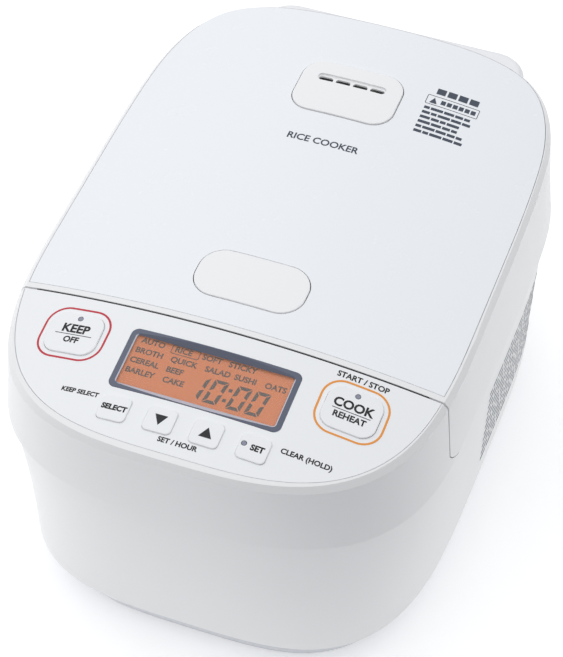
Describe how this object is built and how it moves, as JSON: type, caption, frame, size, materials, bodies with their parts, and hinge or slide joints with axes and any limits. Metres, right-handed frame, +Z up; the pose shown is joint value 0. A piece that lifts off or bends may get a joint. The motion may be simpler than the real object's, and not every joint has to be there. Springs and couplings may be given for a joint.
{
  "type": "rice cooker",
  "caption": "White countertop rice cooker with a rounded tapered body, sloping front control panel with amber display and keys, hinged glossy lid with release button and lift-off steam cap.",
  "frame": {"origin": "on the table, under the middle of the cooker's bounding box", "axes": "+X to the cooker's right as seen from the front, +Y to the rear (hinge side), +Z up"},
  "size_m": [0.255, 0.38, 0.2029],
  "materials": {
    "white_case": "satin moulded ABS",
    "white_lid": "high gloss",
    "white_panel": "printed polyester sheet, semi-gloss",
    "white_trim": "fine matte",
    "light_grey_housing": "satin",
    "dark_base": "fine texture",
    "inner_white": "moulded polypropylene",
    "dark_rubber": "matte",
    "grey_silicone": "matte",
    "steel": "brushed",
    "spring_steel": "drawn wire",
    "aluminium": "extruded",
    "pot_coating": "non-stick, fine speckle",
    "copper": "enamelled wire",
    "ferrite": "sintered",
    "circuit_board": "solder mask",
    "black_plastic": "moulded",
    "bezel": "satin",
    "lcd_glass": "clear",
    "lcd_amber": "backlit amber",
    "light_pipe": "smoky lens"
  },
  "bodies": {
    "cooker": {"base_cover": "light_grey_housing", "feet": "dark_rubber", "base_screws": "steel", "outer_case": "white_case", "upper_frame": "inner_white", "frame_screws": "steel", "latch_keeper": "steel", "front_housing": "white_case", "control_panel": "white_panel", "lcd_bezel": "bezel", "lcd_window": "lcd_glass", "lcd_module": "lcd_amber", "control_board": "circuit_board", "tact_switches": "black_plastic", "status_lights": "light_pipe", "inner_pot": "pot_coating", "inner_case": "inner_white", "induction_coil": "copper", "ferrite_bars": "ferrite", "coil_cover": "black_plastic", "sensor_spring": "spring_steel", "inverter_board": "circuit_board", "heat_sink": "aluminium", "fan_housing": "black_plastic", "cord_reel_case": "black_plastic", "rear_housing": "light_grey_housing", "cord_outlet": "dark_base", "hinge_bracket": "steel", "hinge_pin": "steel", "hinge_spring": "spring_steel"},
    "lid": {"lid_frame": "white_case", "lid_carrier": "inner_white", "lid_top_panel": "white_lid", "lid_inner_cover": "inner_white", "lid_heater": "aluminium", "inner_lid": "steel", "pot_gasket": "grey_silicone", "pressure_valve": "inner_white", "safety_valve": "steel", "steam_duct": "grey_silicone", "hinge_arms": "steel", "latch_pin": "steel", "button_spring": "spring_steel"},
    "steam_cap": {"steam_cap": "white_trim", "steam_cap_base": "inner_white", "steam_cap_seal": "grey_silicone"},
    "open_button": {"open_button": "white_trim"},
    "latch_hook": {"latch_hook": "black_plastic"},
    "pot_sensor": {"pot_sensor": "aluminium"},
    "fan_rotor": {"fan_rotor": "black_plastic"},
    "cord_reel": {"cord_reel_drum": "inner_white"},
    "key_warm": {"key_warm": "white_panel"},
    "key_cook": {"key_cook": "white_panel"},
    "key_select": {"key_select": "white_panel"},
    "key_down": {"key_down": "white_panel"},
    "key_up": {"key_up": "white_panel"},
    "key_timer": {"key_timer": "white_panel"}
  },
  "joints": [
    {"name": "lid_hinge", "type": "hinge", "parent": "cooker", "child": "lid", "pos_m": [0, 0.16, 0.165], "axis": [-1, 0, 0], "range_deg": [0, 85]},
    {"name": "open_button_press", "type": "slide", "parent": "lid", "child": "open_button", "axis": [0, 0, -1], "range_m": [0, 0.0025], "stiffness_N_per_m": 1000, "springref_m": -0.001, "deforming": ["button_spring"]},
    {"name": "latch_pivot", "type": "hinge", "parent": "lid", "child": "latch_hook", "pos_m": [0, -0.087, 0.166], "axis": [-1, 0, 0], "range_deg": [0, 8]},
    {"name": "steam_cap_lift", "type": "slide", "parent": "lid", "child": "steam_cap", "axis": [0, 0, 1], "range_m": [0, 0.06]},
    {"name": "pot_sensor_press", "type": "slide", "parent": "cooker", "child": "pot_sensor", "axis": [0, 0, -1], "range_m": [0, 0.003], "stiffness_N_per_m": 600, "springref_m": -0.001, "deforming": ["sensor_spring"]},
    {"name": "fan_spin", "type": "hinge", "parent": "cooker", "child": "fan_rotor", "pos_m": [-0.045, -0.122, 0.015], "axis": [0, 0, 1], "continuous": true},
    {"name": "cord_reel_spin", "type": "hinge", "parent": "cooker", "child": "cord_reel", "pos_m": [0, 0.165, 0.062], "axis": [0, 1, 0], "continuous": true},
    {"name": "key_warm_press", "type": "slide", "parent": "cooker", "child": "key_warm", "axis": [0.142, 0.1583, -0.9771], "range_m": [0, 0.0006], "stiffness_N_per_m": 900, "springref_m": -0.0004},
    {"name": "key_cook_press", "type": "slide", "parent": "cooker", "child": "key_cook", "axis": [-0.142, 0.1583, -0.9771], "range_m": [0, 0.0006], "stiffness_N_per_m": 900, "springref_m": -0.0004},
    {"name": "key_select_press", "type": "slide", "parent": "cooker", "child": "key_select", "axis": [0.0691, 0.1595, -0.9848], "range_m": [0, 0.0006], "stiffness_N_per_m": 900, "springref_m": -0.0004},
    {"name": "key_down_press", "type": "slide", "parent": "cooker", "child": "key_down", "axis": [0.0224, 0.1599, -0.9869], "range_m": [0, 0.0006], "stiffness_N_per_m": 900, "springref_m": -0.0004},
    {"name": "key_up_press", "type": "slide", "parent": "cooker", "child": "key_up", "axis": [-0.0244, 0.1599, -0.9868], "range_m": [0, 0.0006], "stiffness_N_per_m": 900, "springref_m": -0.0004},
    {"name": "key_timer_press", "type": "slide", "parent": "cooker", "child": "key_timer", "axis": [-0.0711, 0.1595, -0.9846], "range_m": [0, 0.0006], "stiffness_N_per_m": 900, "springref_m": -0.0004}
  ],
  "couplings": [
    {"joint": "latch_pivot", "follows": "open_button_press", "rad_per_m": 54}
  ]
}
